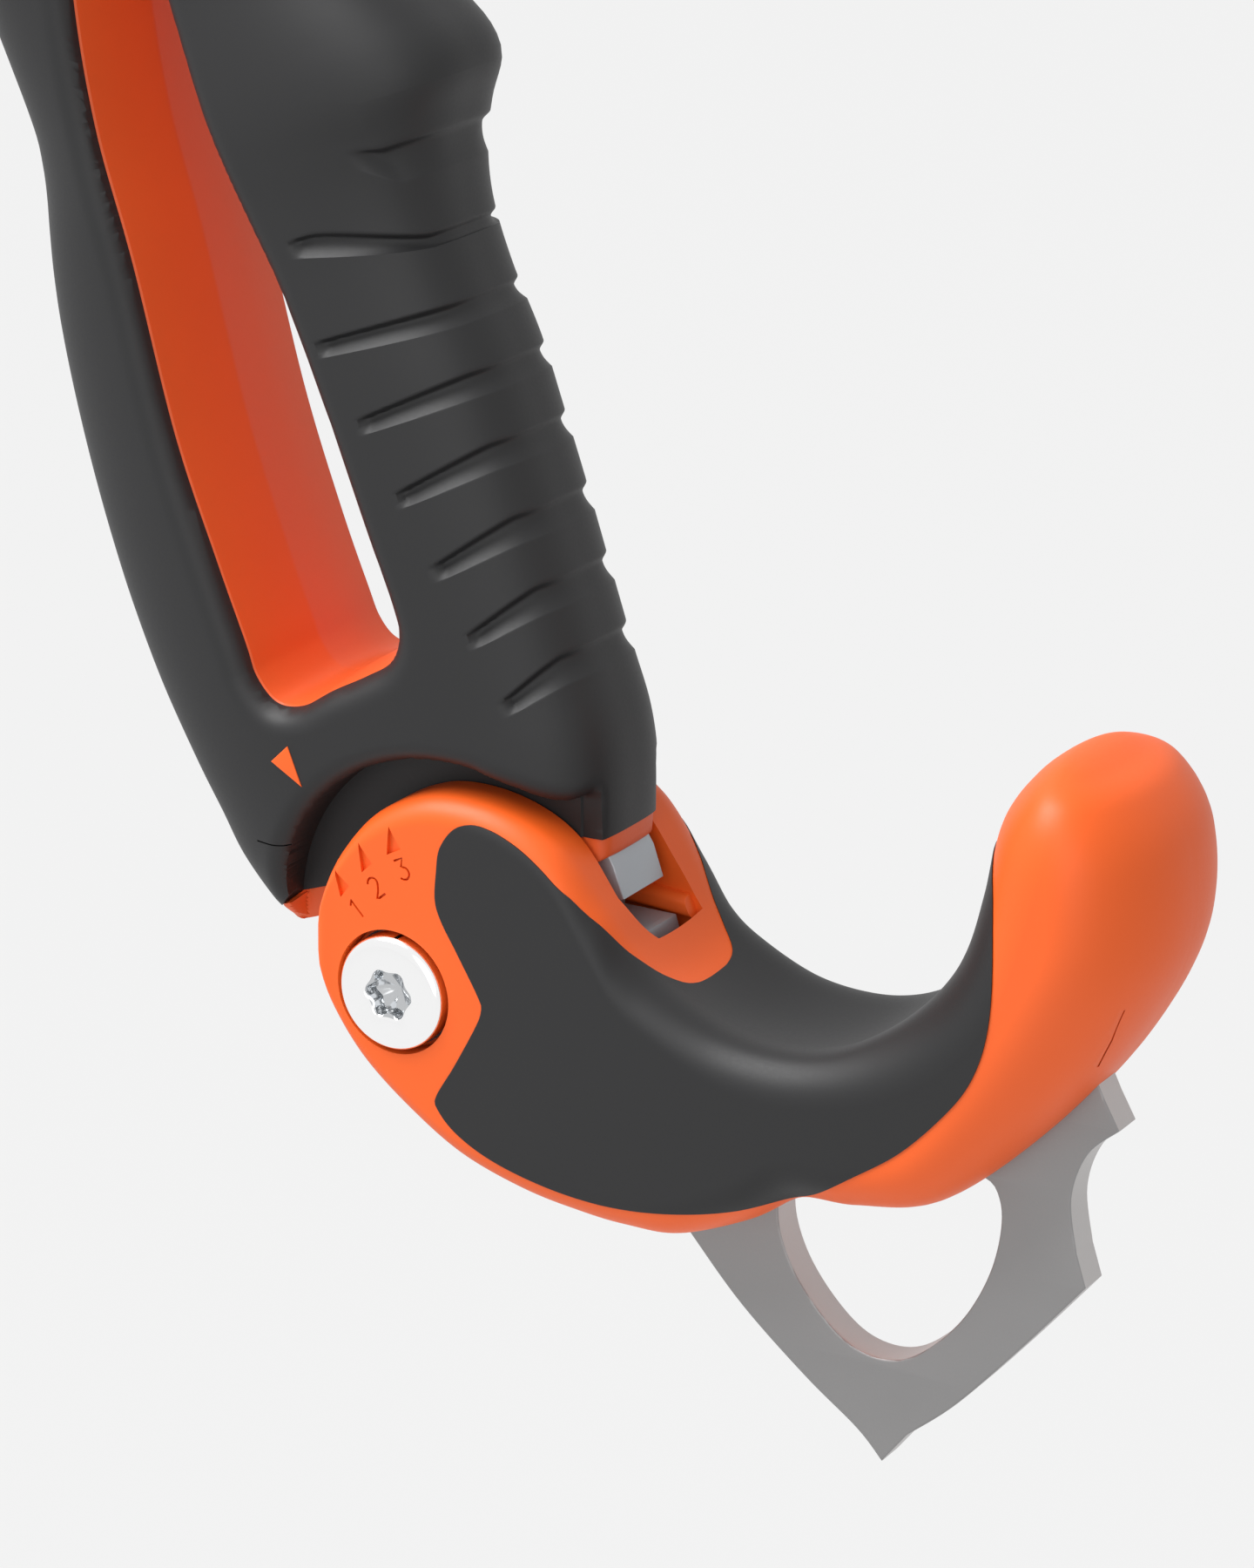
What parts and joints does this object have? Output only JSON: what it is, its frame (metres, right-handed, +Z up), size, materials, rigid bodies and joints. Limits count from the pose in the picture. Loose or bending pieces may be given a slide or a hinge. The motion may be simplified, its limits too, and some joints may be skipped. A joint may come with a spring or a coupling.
{
  "type": "ice climbing tool",
  "caption": "Curved ice climbing tool with a toothed pick, a hammer, a hollow handle and an adjustable hand rest that ends in a horn and a spike blade",
  "frame": {"origin": "middle of the round clip hole in the head", "axes": "+Z up the tool, from the spike to the head; +X towards the pick's tip; Y along the clip hole"},
  "size_m": [0.232, 0.0288, 0.4842],
  "materials": {
    "core_orange": "moulded, satin",
    "overmould_black": "fine matt",
    "rest_orange": "moulded, satin",
    "pad_black": "fine matt",
    "blade_steel": "bead blasted",
    "index_steel": "ground",
    "screw_steel": "polished",
    "hidden_steel": "plain",
    "washer_plastic": "plain",
    "shaft_alloy": "anodised, satin",
    "head_alloy": "anodised, satin",
    "weight_steel": "blackened"
  },
  "bodies": {
    "tool": {"handle_core": "core_orange", "grip_overmould": "overmould_black", "pointer_mark": "rest_orange", "index_plate": "index_steel", "plate_pins": "hidden_steel", "pivot_sleeve": "hidden_steel", "thrust_washers": "washer_plastic", "shaft": "shaft_alloy", "upper_grip": "overmould_black", "head": "head_alloy", "head_pins": "hidden_steel", "pick": "blade_steel", "pick_bolts": "screw_steel", "pick_nuts": "hidden_steel", "pick_weights": "weight_steel", "weight_screws": "screw_steel", "hammer": "blade_steel", "hammer_bolt": "screw_steel"},
    "rest": {"rest_body": "rest_orange", "rest_pad": "pad_black", "spike_blade": "blade_steel", "spike_pins": "hidden_steel", "clamp_nut": "hidden_steel", "clamp_washer": "hidden_steel"},
    "screw": {"clamp_screw": "screw_steel"}
  },
  "joints": [
    {"name": "rest_pivot", "type": "hinge", "parent": "tool", "child": "rest", "pos_m": [0.042, 0, -0.424], "axis": [0, -1, 0], "range_deg": [0, 28]},
    {"name": "screw_turn", "type": "hinge", "parent": "rest", "child": "screw", "pos_m": [0.042, 0, -0.424], "axis": [0, -1, 0], "range_deg": [0, 360]}
  ]
}
